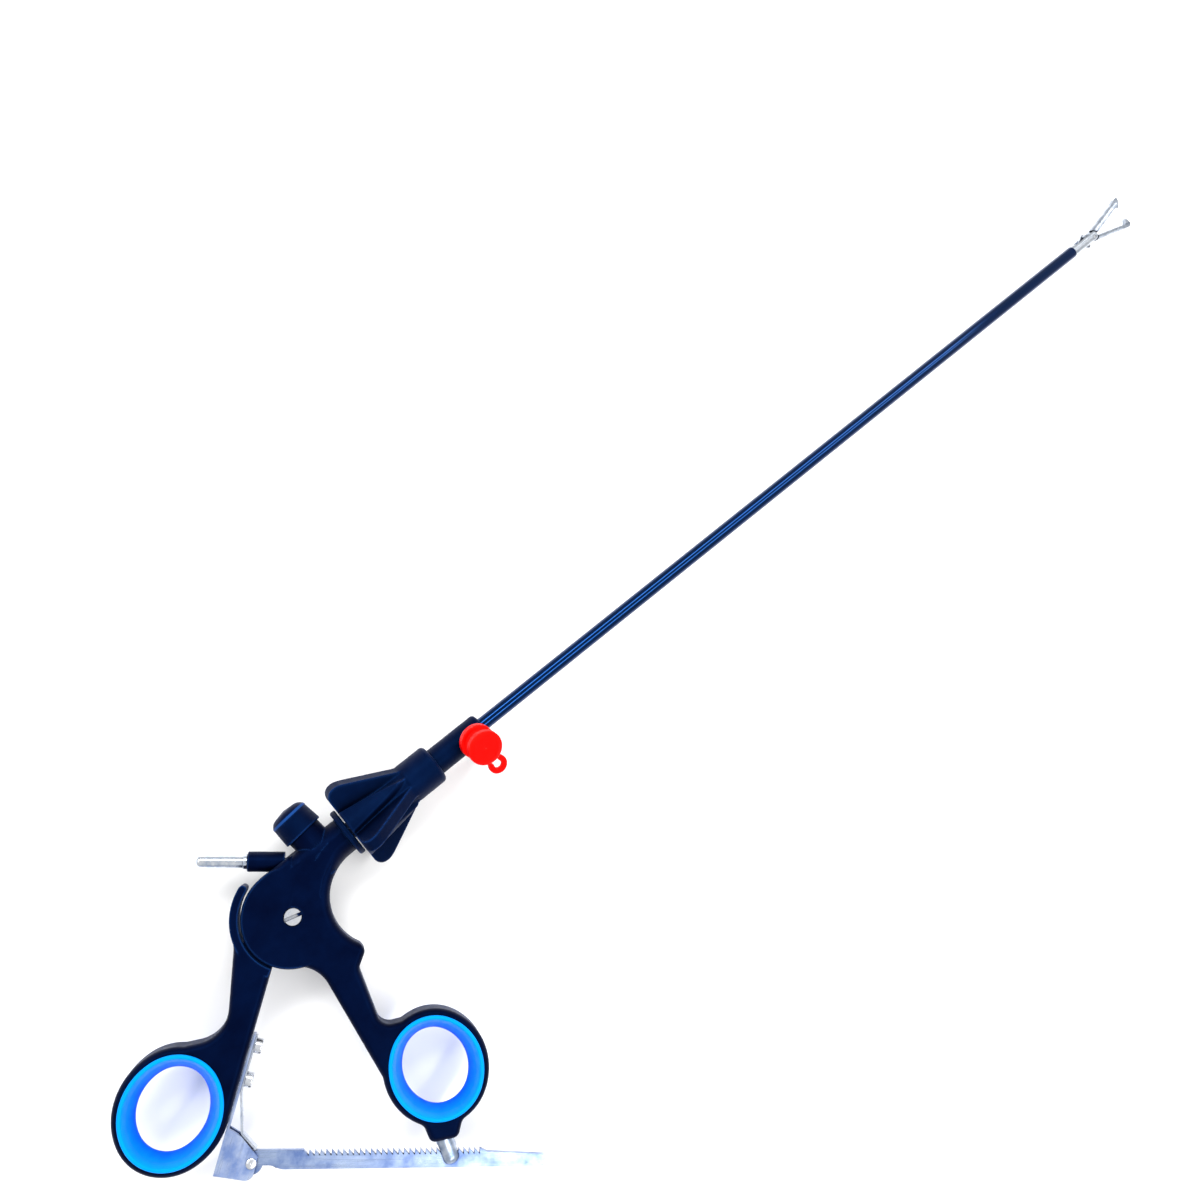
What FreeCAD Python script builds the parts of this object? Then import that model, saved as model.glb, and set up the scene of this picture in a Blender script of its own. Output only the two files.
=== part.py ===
import FreeCAD, Part
import math
import os

os.makedirs("parts", exist_ok=True)
V = FreeCAD.Vector

# A pistol-grip laparoscopic grasper. Lengths are in millimetres.
# The shaft axis is X, with the tip at +X and the front of the sheath hub at 0.
# The rings hang down towards -Y, the release button stands up on +Y, and +Z faces the viewer.
MIDDLE = V(0, 0, 0)
ALONG = V(1, 0, 0)
FACING = V(0, 0, 1)

# Clearances
running = 0.05
seat_gap = 0.01

# Shaft and tip
sleeve_r = 2.5
insulation_wall = 0.39
tube_wall = 0.8
tube_r = sleeve_r - insulation_wall - seat_gap
lumen_r = tube_r - tube_wall
hub_step = 0.2
yoke_r = 2.3
rod_r = 0.8
insulation_start = -12.0
insulation_end = 324.0
pivot_ahead = 13.0
prong_end_r = 2.5
pivot_x = insulation_end + pivot_ahead
yoke_end = pivot_x + prong_end_r
tip_roll = 20.0

# Grip
grip_half = 5.5
slot_half = 3.3
tang_half = 3.2
edge_r = 2.0
pivot = V(-85, -10, 0)
disc_r = 16.0
band_inner = 16.8
band_outer = 19.3
band_start = 112.0
band_stop = 210.0
tang_start = 168.0
neck_r = 6.0
neck_front = -57.2
close_angle = 13.0
open_angle = 6.0

# Finger rings: throat half sizes, turn and middle
thumb_ring = {"at": V(-146.0, -32.6, 0), "turn": 37.0, "long": 12.2, "short": 10.6}
finger_ring = {"at": V(-79.3, -76.3, 0), "turn": 78.0, "long": 11.9, "short": 10.3}
ring_seat = 3.7
ring_outer = 6.4
lip_high = 0.6


# Helpers
def polar(centre, radius, angle):
    """A point at a radius and an angle in degrees round a centre."""
    turn = math.radians(angle)
    return V(centre.x + radius * math.cos(turn), centre.y + radius * math.sin(turn), centre.z)


def rod(start, end, radius, end_radius=None):
    """A cylinder, or a cone when a second radius is given, from one point to another."""
    way = end - start
    if end_radius is None:
        return Part.makeCylinder(radius, way.Length, start, way)
    return Part.makeCone(radius, end_radius, way.Length, start, way)


def tube(start, end, outer, inner):
    """A round tube between two points."""
    way = end - start
    past = V(way).normalize()
    return rod(start, end, outer).cut(rod(start - past, end + past, inner))


def block(x, y, z):
    """A box from pairs of low and high coordinates."""
    return Part.makeBox(x[1] - x[0], y[1] - y[0], z[1] - z[0], V(x[0], y[0], z[0]))


def outline(corners, height=0.0):
    """A closed wire of straight edges, with an arc at each corner that states a radius."""
    count = len(corners)
    marks = []
    for number, corner in enumerate(corners):
        here = V(corner[0], corner[1], height)
        if len(corner) < 3:
            marks.append((here, None, here))
            continue
        last, following = corners[number - 1], corners[(number + 1) % count]
        back = (V(last[0], last[1], height) - here).normalize()
        ahead = (V(following[0], following[1], height) - here).normalize()
        half = back.getAngle(ahead) / 2
        reach = corner[2] / math.tan(half)
        inward = (back + ahead).normalize()
        middle = here + inward * (corner[2] / math.sin(half) - corner[2])
        marks.append((here + back * reach, middle, here + ahead * reach))
    edges = []
    for number, (start, middle, end) in enumerate(marks):
        if middle is not None:
            edges.append(Part.Arc(start, middle, end).toShape())
        following = marks[(number + 1) % count][0]
        if (following - end).Length > 1e-6:
            edges.append(Part.makeLine(end, following))
    return Part.Wire(edges)


def plate(corners, low, high):
    """A flat plate between two heights with a rounded outline."""
    return Part.Face(outline(corners, low)).extrude(V(0, 0, high - low))


def lathe(corners, start, way):
    """A turned solid: the corners are (distance along the axis, radius)."""
    profile = Part.Face(outline(corners))
    solid = profile.revolve(MIDDLE, ALONG, 360)
    solid.Placement = FreeCAD.Placement(start, FreeCAD.Rotation(ALONG, way))
    return solid


def sector(centre, inner, outer, start, stop, half):
    """A curved band round a centre, between two angles."""
    mid = (start + stop) / 2
    far = [polar(centre, outer, angle) for angle in (start, mid, stop)]
    near = [polar(centre, inner, angle) for angle in (stop, mid, start)]
    edges = [Part.Arc(*far).toShape(), Part.makeLine(far[2], near[0])]
    edges += [Part.Arc(*near).toShape(), Part.makeLine(near[2], far[0])]
    face = Part.Face(Part.Wire(edges))
    face.translate(V(0, 0, -half))
    return face.extrude(V(0, 0, 2 * half))


def join(shapes):
    """Fuse shapes into one body with clean faces."""
    return shapes[0].fuse(shapes[1:]).removeSplitter()


def carve(shape, tools):
    """Cut several tools out of a body."""
    return shape.cut(tools).removeSplitter()


def rims(shape, half, skip=lambda spot: False):
    """The edges in the front and back faces of a plate, without those at a skipped spot."""
    picked = []
    for edge in shape.Edges:
        if skip(edge.CenterOfMass):
            continue
        heights = [point.Z for point in edge.Vertexes]
        if all(abs(height - half) < 1e-5 for height in heights):
            picked.append(edge)
        elif all(abs(height + half) < 1e-5 for height in heights):
            picked.append(edge)
    return picked


def uprights(shape, spots, reach=3.0):
    """The edges that run straight along Z next to one of the spots."""
    picked = []
    for edge in shape.Edges:
        box = edge.BoundBox
        if box.XLength + box.YLength > 1e-3:
            continue
        if any(math.hypot(box.XMin - spot[0], box.YMin - spot[1]) < reach for spot in spots):
            picked.append(edge)
    return picked


def oval_arcs(ring, grow):
    """The four arcs of an oval: middle, radius, first angle and sweep of each."""
    end_r = 0.9 * ring["short"]
    end_x = ring["long"] - end_r
    side_r = (end_x ** 2 + ring["short"] ** 2 - end_r ** 2) / (2 * (ring["short"] - end_r))
    side_y = side_r - ring["short"]
    lean = math.degrees(math.atan2(side_y, end_x))
    return [
        (V(end_x, 0, 0), end_r + grow, -lean, 2 * lean),
        (V(0, -side_y, 0), side_r + grow, lean, 180 - 2 * lean),
        (V(-end_x, 0, 0), end_r + grow, 180 - lean, 2 * lean),
        (V(0, side_y, 0), side_r + grow, 180 + lean, 180 - 2 * lean),
    ]


def place_ring(shape, ring):
    """Turn and move a shape from the oval's own frame to its ring."""
    shape.rotate(MIDDLE, FACING, ring["turn"])
    shape.translate(ring["at"])
    return shape


def oval_plate(ring, grow, half):
    """A flat oval plate round a finger ring's middle."""
    edges = []
    for hub, radius, first, sweep in oval_arcs(ring, grow):
        points = [polar(hub, radius, first + sweep * part) for part in (0, 0.5, 1)]
        edges.append(Part.Arc(*points).toShape())
    face = Part.Face(Part.Wire(edges))
    face.translate(V(0, 0, -half))
    return place_ring(face.extrude(V(0, 0, 2 * half)), ring)


def oval_band(ring, section):
    """A section of (offset from the throat, height) corners carried round the oval."""
    pieces = []
    for hub, radius, first, sweep in oval_arcs(ring, 0):
        face = Part.Face(outline([(radius + corner[0],) + corner[1:] for corner in section]))
        face.rotate(MIDDLE, ALONG, 90)
        face.rotate(MIDDLE, FACING, first)
        face.translate(hub)
        pieces.append(face.revolve(hub, FACING, sweep))
    return place_ring(join(pieces), ring)


def roll(shape, angle):
    """Turn a shape about the shaft axis."""
    shape.rotate(MIDDLE, ALONG, angle)
    return shape


def save(name, shape):
    """Write one piece as its own file."""
    shape.exportStep("parts/" + name + ".step")


# Ring liners: a funnel on each side of a narrow throat, and a soft lip over the ring's edge
lip_under = grip_half + 0.02
lip_top = grip_half + lip_high
funnel_at = grip_half - 1.9
liner_front = [(ring_seat, lip_under), (4.5, lip_under), (4.2, lip_top, 0.35), (3.3, lip_top, 0.5),
               (2.3, funnel_at, 2.0)]
liner_back = [(corner[0], -corner[1]) + corner[2:] for corner in liner_front[::-1]]
liner_section = liner_front + [(0.0, 0.0, 5.5)] + liner_back

# Fixed grip
grip_outline = [
    (-86, 5.9), (-76.5, 5.9), (-73.5, 5.2), (-60, 5.2), (-60, -5.4), (-76.3, -5.4, 16),
    (-74, -33, 2.4), (-79, -36, 3), (-84.6, -55, 4.5), (-74, -60.5), (-79.3, -76.3),
    (-94.0, -70), (-88.5, -28.4, 12), (-95, -20.8), (-90, -8),
]
catch_boss = [(-80, -88), (-88, -82), (-92.2, -84.3), (-94.5, -93.0, 2.4), (-87, -97.5, 2.4), (-82.5, -94)]
grip = join([
    plate(grip_outline, -grip_half, grip_half),
    oval_plate(finger_ring, ring_outer, grip_half),
    plate(catch_boss, -grip_half, grip_half),
])
for spot in [(-78.7, -58), (-93.2, -87), (-82.8, -94.3), (-93.7, -67)]:
    grip = grip.makeFillet(3, uprights(grip, [spot], 1.3))


def inside_neck_or_disc(spot):
    """True where the grip's plate edge is buried in the neck or in the pivot disc."""
    buried = math.hypot(spot.x - pivot.x, spot.y - pivot.y) < disc_r - 1
    return buried or (spot.x > -76 and spot.y > -7)


grip = grip.makeFillet(edge_r, rims(grip, grip_half, inside_neck_or_disc))

# The cheeks are hollowed towards the front so that the round neck comes out of the grip
relief_x = -76.0
relief_r = 3.1
web_half = grip_half - relief_r
relief = plate([
    (relief_x, grip_half), (relief_x + relief_r, web_half, 0.9 * relief_r),
    (relief_x + 30, web_half), (relief_x + 30, grip_half + 5), (relief_x, grip_half + 5),
], -27, 7)
relief.rotate(MIDDLE, ALONG, 90)
relief_back = relief.mirror(MIDDLE, FACING)

# Button and contact directions
button_foot = V(-66, 0, 0)
button_way = V(-math.sin(math.radians(5.5)), math.cos(math.radians(5.5)), 0)
contact_way = V(-0.762, 0.647, 0).normalize()
contact_out = V(-85.8, 12.7, 0)
contact_in = contact_out - contact_way * 11.5
contact_tip = V(-97.8, 22.9, 0)


def up_button(distance):
    """A point on the release button's axis."""
    return button_foot + button_way * distance


disc = Part.makeCylinder(disc_r, 2 * grip_half, pivot - V(0, 0, grip_half))
disc = disc.makeChamfer(0.4, [edge for edge in disc.Edges if len(edge.Vertexes) == 1])
neck = rod(V(-78, 0, 0), V(neck_front, 0, 0), neck_r)
button_boss = rod(up_button(0), up_button(9.6), 5.8)

# Inner spaces of the grip
screw_r = 2.9
barrel_r = 1.9
channel = block((-89.5, -76.5), (-7.9, 2.0), (-slot_half, slot_half))
hub_space = Part.makeCylinder(8, 2 * slot_half, pivot - V(0, 0, slot_half))
tang_space = sector(pivot, 7, band_inner + 0.7, tang_start - close_angle,
                    band_stop + close_angle + open_angle, slot_half)
latch_x = (-67.05, -65.1)
latch_hole_r = 3.1
latch_half = 4.4
latch_low = 0.75
latch_space = block(latch_x, (-0.45, 6.2), (-4.55, 4.55)).fuse(
    rod(V(latch_x[0], -0.45, 0), V(latch_x[1], -0.45, 0), 4.55))
catch_way = V(-0.30, -0.954, 0).normalize()
catch_root = V(-90.7, -95.2, 0) - catch_way * 3.5
catch_end = V(-93.4, -103.2, 0)
catch_r = 2.8

handle_body = join([grip.cut([relief, relief_back]), disc, neck, button_boss])
handle_body = carve(handle_body, [
    channel, hub_space, tang_space, latch_space,
    oval_plate(finger_ring, ring_seat, grip_half + 1),
    rod(V(-70.7, 0, 0), V(neck_front + 1, 0, 0), 3.0 + running),
    rod(V(-78, 0, 0), V(-70, 0, 0), lumen_r),
    rod(up_button(3.95), up_button(7), 2.4),
    rod(up_button(6), up_button(11), 4.0),
    rod(contact_in, contact_out + contact_way * 5, 3.2 + seat_gap),
    rod(contact_in - contact_way * 6, contact_in + contact_way, 1.0),
    Part.makeCylinder(barrel_r + seat_gap, 20, pivot - V(0, 0, 10)),
    Part.makeCylinder(screw_r + 0.1, 2, pivot + V(0, 0, grip_half - 1.2)),
    Part.makeCylinder(screw_r + 0.1, 2, pivot - V(0, 0, grip_half + 0.8)),
    rod(catch_root, catch_root + catch_way * 9, catch_r + seat_gap),
])
save("handle_body", handle_body)
save("finger_ring_insert", oval_band(finger_ring, liner_section))

flange = lathe([(0, 3.4), (2.0, 3.4), (2.0, 8.5, 0.5), (0, 8.5, 0.8)], V(neck_front, 0, 0), ALONG)
save("neck_flange", flange)

# Main pivot: a barrel with a slotted screw head in front and a rivet head behind
screw_face = grip_half + 0.1
screw_seat = grip_half - 1.2
screw_head = Part.makeCylinder(screw_r, screw_face - screw_seat, pivot + V(0, 0, screw_seat))
screw_head = screw_head.makeChamfer(0.25, [screw_head.Edges[0]])
driver_slot = block((-4, 4), (-0.55, 0.55), (0, 2))
driver_slot.rotate(MIDDLE, FACING, 20)
driver_slot.translate(pivot + V(0, 0, screw_face - 0.6))
sleeve_low = -screw_face
stem_length = screw_seat - sleeve_low
screw_stem = Part.makeCylinder(1.2, stem_length, pivot + V(0, 0, sleeve_low))
save("main_pivot_screw", join([screw_head, screw_stem]).cut(driver_slot))
pivot_sleeve = join([
    Part.makeCylinder(barrel_r, stem_length, pivot + V(0, 0, sleeve_low)),
    Part.makeCylinder(screw_r, 1.3, pivot + V(0, 0, sleeve_low)),
])
save("main_pivot_sleeve", pivot_sleeve.cut(
    Part.makeCylinder(1.2 + seat_gap, stem_length + 2, pivot + V(0, 0, sleeve_low - 1))))

# Electrical contact: sleeve, plug pin and inner plunger
hf_sleeve = lathe([(0, 2.0 + seat_gap), (11.5, 2.0 + seat_gap), (11.5, 3.2, 0.4), (0, 3.2)],
                  contact_in, contact_way)
save("hf_sleeve", hf_sleeve)
pin_length = (contact_tip - contact_in).Length
collar_at = (contact_out - contact_in).Length
hf_pin = lathe([
    (0, 0), (pin_length, 0), (pin_length, 2.0, 1.2), (collar_at + 1.3, 2.0),
    (collar_at + 1.3, 2.35, 0.2), (collar_at + 0.05, 2.35, 0.2), (collar_at + 0.05, 2.0), (0, 2.0),
], contact_in, contact_way)
save("hf_pin", hf_pin)
hf_contact = lathe([(0, 0), (5.6, 0), (5.6, 0.45, 0.2), (4.6, 0.9, 0.3), (0, 0.9)],
                   contact_in, contact_way * -1)
save("hf_contact", hf_contact)

# Catch stud with an open slot for the ratchet bar
rivet = V(-138.3, -60.7, 0)
bar_turn = -42.7
bar_top = 3.5
bar_low = -2.0
bar_half = 1.0
roof = 4.6


def along_bar(shape):
    """Move a shape from the ratchet bar's own frame, with the rivet at its origin."""
    shape.rotate(MIDDLE, FACING, bar_turn)
    shape.translate(rivet)
    return shape


catch_length = (catch_end - catch_root).Length
catch_pin = lathe([(0, 0), (catch_length, 0), (catch_length, catch_r, 2.0), (0, catch_r)],
                  catch_root, catch_way)
catch_slot = along_bar(block((50, 72), (-8, roof), (-bar_half - 0.15, bar_half + 0.15)))
save("catch_pin", catch_pin.cut(catch_slot))

# Thumb lever: curved band, tang and hub in one piece with the thumb ring
lever_line = V(-0.7965, -0.6046, 0)
lever_out = V(0.6046, -0.7965, 0)
lever_foot = V(-116.28, -31.26, 0)


def on_lever(distance, outward, height=0.0):
    """A point counted along the lever's inner edge and away from it."""
    return lever_foot + lever_line * distance + lever_out * outward + V(0, 0, height)


screw_spots = [2.4, 12.5]
screw_shank = 1.1
inner_start = on_lever(-21.1, 0)
inner_end = on_lever(26, 0)
lever_outline = [
    (-102.2, -2.1), (-104.43, -6.0, 8), (-121.6, -26.0, 10), (-134.6, -18.6), (-145.8, -32.9),
    (inner_end.x, inner_end.y), (inner_start.x, inner_start.y), (-101.9, -16.2),
]


def inside_band(spot):
    """True where the lever's plate edge is buried in its curved band."""
    return math.hypot(spot.x - pivot.x, spot.y - pivot.y) < band_outer - 1


lever = join([
    plate(lever_outline, -grip_half, grip_half),
    oval_plate(thumb_ring, ring_outer, grip_half),
])
lever = lever.makeFillet(4, uprights(lever, [(-133.0, -19.4)], 1.6))
lever = lever.makeFillet(edge_r, rims(lever, grip_half, inside_band))
band = sector(pivot, band_inner, band_outer, band_start, band_stop, grip_half)
band_mid = (band_inner + band_outer) / 2
band_tip = Part.makeCylinder((band_outer - band_inner) / 2, 2 * grip_half,
                             polar(pivot, band_mid, band_start) - V(0, 0, grip_half))
hub_r = 5.2
hub_half = 1.5
boss_r = 2.7
drive_r = 0.8
drive_reach = 4.09
drive_angle = 90 - (close_angle - open_angle) / 2
drive_at = polar(pivot, drive_reach, drive_angle)
lever_pieces = [
    lever, band, band_tip,
    sector(pivot, 1.0, band_inner + 0.5, tang_start, band_stop, tang_half),
    Part.makeCylinder(hub_r, 2 * hub_half, pivot - V(0, 0, hub_half)),
    Part.makeCylinder(boss_r, 2 * tang_half, pivot - V(0, 0, tang_half)),
]
clear_disc = Part.makeCylinder(band_inner, 30, pivot - V(0, 0, 15)).cut(
    Part.makeCylinder(band_inner + 1, 2 * tang_half, pivot - V(0, 0, tang_half)))
thumb_lever = join(lever_pieces).cut([
    clear_disc,
    Part.makeCylinder(barrel_r + running, 30, pivot - V(0, 0, 15)),
    Part.makeCylinder(drive_r + seat_gap, 30, drive_at - V(0, 0, 15)),
    oval_plate(thumb_ring, ring_seat, grip_half + 1),
] + [rod(on_lever(spot, -1.9), on_lever(spot, 2), screw_shank + seat_gap) for spot in screw_spots])
save("thumb_lever", thumb_lever)
save("thumb_ring_insert", oval_band(thumb_ring, liner_section))
save("drive_pin", Part.makeCylinder(drive_r, 2 * tang_half, drive_at - V(0, 0, tang_half)))

# Ratchet bracket: a strip along the lever and two cheeks that hold the rivet
strip_t = 1.0
cheek_in = bar_half + 0.1
cheek_out = cheek_in + strip_t
strip_in = 0.12
bracket_ends = [on_lever(spot, side) for spot, side in (
    (-1, strip_in), (40.5, strip_in), (40.5, strip_t), (-1, strip_t))]
strip = plate([(point.x, point.y) for point in bracket_ends], -cheek_out, cheek_out)
cheek = plate([
    (-148.0, -56.4), (-137.2, -47.8), (-135.7, -52.5), (-135.7, -60.5, 1.5), (-141.2, -65.0, 2.5),
], cheek_in, cheek_out)
leaf_t = 0.6
rivet_hole = Part.makeCylinder(1.5 + seat_gap, 10, rivet - V(0, 0, 5))
bracket = join([strip, cheek, cheek.mirror(MIDDLE, FACING)])
save("ratchet_bracket", bracket.cut([
    rod(on_lever(spot, -1), on_lever(spot, 4), screw_shank + seat_gap) for spot in screw_spots
] + [rivet_hole]))
screws = []
for spot in screw_spots:
    under = strip_t + leaf_t + seat_gap
    head = lathe([(0, 0), (2.2, 0), (2.2, 2.25, 0.4), (0, 2.25)], on_lever(spot, under), lever_out)
    notch = block((-3, 3), (-0.35, 0.35), (-1, 1))
    notch.Placement = FreeCAD.Placement(on_lever(spot, under + 2.4), FreeCAD.Rotation(FACING, lever_out))
    stem = rod(on_lever(spot, -1.8), on_lever(spot, under + 0.1), screw_shank)
    screws.append(join([head, stem]).cut(notch))
save("bracket_screws", Part.makeCompound(screws))

# Leaf spring: flat under the screws, then bent away and down on to the bar
leaf_tip = along_bar(Part.Vertex(1.0, bar_top + 0.5, 0)).Point
leaf_path = [on_lever(-0.6, strip_t + leaf_t / 2), on_lever(16, strip_t + leaf_t / 2),
             on_lever(27.6, 5.0), leaf_tip]
leaf_sides = []
for side in (1, -1):
    line = []
    for number, point in enumerate(leaf_path):
        back = (point - leaf_path[number - 1]).normalize() if number else None
        ahead = (leaf_path[number + 1] - point).normalize() if number + 1 < len(leaf_path) else back
        back = ahead if back is None else back
        across = (back + ahead).normalize().cross(FACING)
        spread = leaf_t / 2 / math.cos(back.getAngle(ahead) / 2)
        line.append(point + across * side * spread)
    leaf_sides.append(line)
leaf_corners = [(point.x, point.y) for point in leaf_sides[0] + leaf_sides[1][::-1]]
leaf_corners[1] += (6,)
leaf_corners[2] += (1.6,)
leaf_corners[5] += (1.0,)
leaf_corners[6] += (6,)
leaf = plate(leaf_corners, -1.9, 1.9)
save("leaf_spring", leaf.cut([
    rod(on_lever(spot, 0), on_lever(spot, 4), screw_shank + seat_gap) for spot in screw_spots]))

ratchet_rivet = join([
    Part.makeCylinder(1.5, 2 * cheek_out + 1.3, rivet - V(0, 0, cheek_out + 0.65)),
    lathe([(0, 0), (0.65, 0), (0.65, 2.2, 0.3), (0, 2.2)], rivet + V(0, 0, cheek_out), FACING),
    lathe([(0, 0), (0.65, 0), (0.65, 2.2, 0.3), (0, 2.2)], rivet - V(0, 0, cheek_out), FACING * -1),
])
save("ratchet_rivet", ratchet_rivet)

# Ratchet bar: an eye, a narrowed neck, a row of teeth and a tapered end
tooth_start = 15.2
tooth_pitch = 1.72
tooth_depth = 1.7
tooth_count = 32
bar = plate([
    (0, bar_top), (70.5, bar_top), (72.5, 2.5, 2), (91.7, 1.6, 0.8), (91.7, bar_low, 1.2),
    (8, bar_low, 6), (6.5, -0.8, 4), (0, -0.8),
], -bar_half, bar_half)
bar = join([bar, Part.makeCylinder(3.5, 2 * bar_half, V(0, 0, -bar_half))])
cuts = []
for number in range(tooth_count):
    right = tooth_start + tooth_pitch * (number + 1)
    cuts.append(plate([(right - tooth_pitch, bar_top + 0.4), (right - tooth_pitch, bar_top),
                       (right, bar_top - tooth_depth), (right, bar_top + 0.4)], -2, 2))
bar = bar.cut(cuts).cut(Part.makeCylinder(1.5 + running, 6, V(0, 0, -3)))
save("ratchet_bar", along_bar(bar))

# Shuttle: a block with a keyhole for the ball end and two fork plates round the drive pin
ball_at = V(-79.4, 0, 0)
ball_r = 1.6
shuttle_half = 3.1
fork_low = drive_at.y - 1.1
shuttle = join([
    block((-83.4, -77.6), (-3.2, 1.85), (-shuttle_half, shuttle_half)),
    block((drive_at.x - 2.1, -82.9), (fork_low, 1.85), (hub_half + 0.15, shuttle_half)),
    block((drive_at.x - 2.1, -82.9), (fork_low, 1.85), (-shuttle_half, -hub_half - 0.15)),
])
shuttle = shuttle.makeFillet(0.5, [edge for edge in shuttle.Edges
                                   if edge.BoundBox.YLength > 5 and edge.BoundBox.XMin < -86])
ball_slot = rod(ball_at, ball_at + V(0, 6, 0), ball_r + running)
neck_slot = block((ball_at.x, -70), (0, 5), (-rod_r - running, rod_r + running))
save("drive_shuttle", shuttle.cut([
    Part.makeSphere(ball_r + running, ball_at), ball_slot, neck_slot,
    rod(ball_at, V(-70, 0, 0), rod_r + running),
    block((drive_at.x - drive_r - running, drive_at.x + drive_r + running),
          (fork_low - 1, drive_at.y), (-5, 5)),
    Part.makeCylinder(drive_r + running, 10, drive_at - V(0, 0, 5)),
]))

# Release button: hollow cap on a stem, its latch plate and its spring
skirt_low = 9.0
cap_top = 18.6
cap_inner = 15.4
stem_low = 5.25
cap = lathe([
    (skirt_low, 6.05), (cap_inner, 6.05), (cap_inner, 0), (cap_top, 0), (cap_top - 0.9, 6.0, 3.2),
    (cap_top - 2.3, 6.3, 1.2), (skirt_low, 6.8, 0.4),
], button_foot, button_way)
stem = rod(up_button(stem_low), up_button(cap_inner + 0.2), 2.2)
save("release_button", join([cap, stem]))
plate_x = (-66.75, -65.35)
latch_hole_y = 1.0
latch_plate = join([
    block(plate_x, (latch_low, 5.15), (-latch_half, latch_half)),
    rod(V(plate_x[0], latch_low, 0), V(plate_x[1], latch_low, 0), latch_half),
])
save("latch_plate", latch_plate.cut(
    rod(V(plate_x[0] - 1, latch_hole_y, 0), V(plate_x[1] + 1, latch_hole_y, 0), latch_hole_r)))
wire_r = 0.35
spring_r = 3.1
spring_low = 6.0 + wire_r + seat_gap
spring_high = cap_inner - wire_r - seat_gap
half_turns = 9
rise = (spring_high - spring_low) / half_turns
lean = math.degrees(math.atan2(rise, 2 * spring_r))
wire = Part.Face(Part.Wire(Part.makeCircle(wire_r, V(math.hypot(spring_r, rise / 2), 0, 0), V(0, 1, 0))))
turns = []
for number in range(half_turns):
    side = -1 if number % 2 else 1
    turn = wire.revolve(MIDDLE, FACING, 180)
    turn.rotate(MIDDLE, FACING, 0 if side > 0 else 180)
    turn.rotate(MIDDLE, V(0, 1, 0), side * lean)
    turn.translate(V(0, 0, rise * (number + 0.5)))
    turns.append(turn)
coil = join(turns)
coil.Placement = FreeCAD.Placement(up_button(spring_low), FreeCAD.Rotation(FACING, button_way))
save("button_spring", coil)

# Sheath: knob, spigot, hub, seal, tube and insulation, all turning about the shaft axis
knob_rear = -54.8
collar_rear = -31.5
collar_front = -20.0
collar_r = 7.1
hub_outer = 4.8
hub_rear = -30.0
spigot_rear = -70.5
port_x = -5.2
port_roll = 28.0
knob_core = lathe([
    (knob_rear, 0), (collar_front, 0), (collar_front, collar_r, 1.6), (collar_rear, collar_r),
    (knob_rear, 9.5, 0.8),
], MIDDLE, ALONG)
wing_half = 2.25
knob_parts = [knob_core]
for number in range(4):
    wing = plate([
        (knob_rear + 0.1, 1), (collar_rear + 1, 1), (collar_rear + 0.3, 6.6),
        (-50.8, 17.6, 3.5), (knob_rear + 0.1, 16.2, 1.8),
    ], -wing_half, wing_half)
    wing = wing.makeFillet(1.6, rims(wing, wing_half))
    knob_parts.append(roll(wing, 90 * number))
knob = join(knob_parts)
flutes = []
for number in range(4):
    for side in (1, -1):
        flute = rod(V(knob_rear - 2, 9.9, side * 5.2), V(collar_rear - 2, 8.4, side * 4.6), 2.9, 1.2)
        flutes.append(roll(flute, 90 * number))
knob = roll(knob.cut(flutes), 90 + port_roll)
save("rotation_knob", knob.cut([
    rod(V(-60, 0, 0), V(-25, 0, 0), 3.0 + seat_gap),
    rod(V(hub_rear, 0, 0), V(0, 0, 0), hub_outer + seat_gap),
]))
groove_r = 2.0
save("coupling_spigot", lathe([
    (spigot_rear, lumen_r), (hub_rear - seat_gap, lumen_r), (hub_rear - seat_gap, 3.0),
    (-64.8, 3.0), (-64.8, groove_r), (-67.2, groove_r), (-67.2, 3.0), (spigot_rear, 3.0, 0.8),
], MIDDLE, ALONG))
port_way = V(0, -math.sin(math.radians(port_roll)), math.cos(math.radians(port_roll)))
port_at = V(port_x, 0, 0)


def up_port(distance):
    """A point on the flushing port's axis."""
    return port_at + port_way * distance


hub = lathe([
    (hub_rear, tube_r + seat_gap), (insulation_start, tube_r + seat_gap),
    (insulation_start, sleeve_r - hub_step + seat_gap), (0, sleeve_r - hub_step + seat_gap),
    (0, hub_outer, 1.4),
    (hub_rear, hub_outer),
], MIDDLE, ALONG)
saddle = rod(up_port(2.6), up_port(5.2), 3.6)
port_bore = rod(up_port(1.5), up_port(9), 2.3 + seat_gap)
seal_x = (-29.9, -27.9)
sheath_hub = join([hub, saddle.cut(rod(V(-20, 0, 0), V(10, 0, 0), sleeve_r + seat_gap))])
save("sheath_hub", sheath_hub.cut([
    port_bore,
    rod(V(hub_rear - 1, 0, 0), V(seal_x[1], 0, 0), 3.0),
]))
save("rod_seal", lathe([(seal_x[0], rod_r + 0.02), (seal_x[1] - 0.05, rod_r + 0.02),
                        (seal_x[1] - 0.05, 2.9, 0.4), (seal_x[0], 2.9, 0.4)], MIDDLE, ALONG))
port_cut = rod(up_port(0), up_port(9), 2.3 + seat_gap)
shaft_tube = tube(V(seal_x[1] + 0.05, 0, 0), V(insulation_end + 2, 0, 0), tube_r, lumen_r)
save("shaft_tube", shaft_tube.cut(rod(up_port(0), up_port(6), 1.0)))
insulation = lathe([
    (insulation_start + seat_gap, tube_r + seat_gap), (insulation_end, tube_r + seat_gap),
    (insulation_end, sleeve_r, 0.2), (0, sleeve_r), (0, sleeve_r - hub_step),
    (insulation_start + seat_gap, sleeve_r - hub_step),
], MIDDLE, ALONG)
save("insulation_sleeve", insulation.cut(port_cut))

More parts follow.
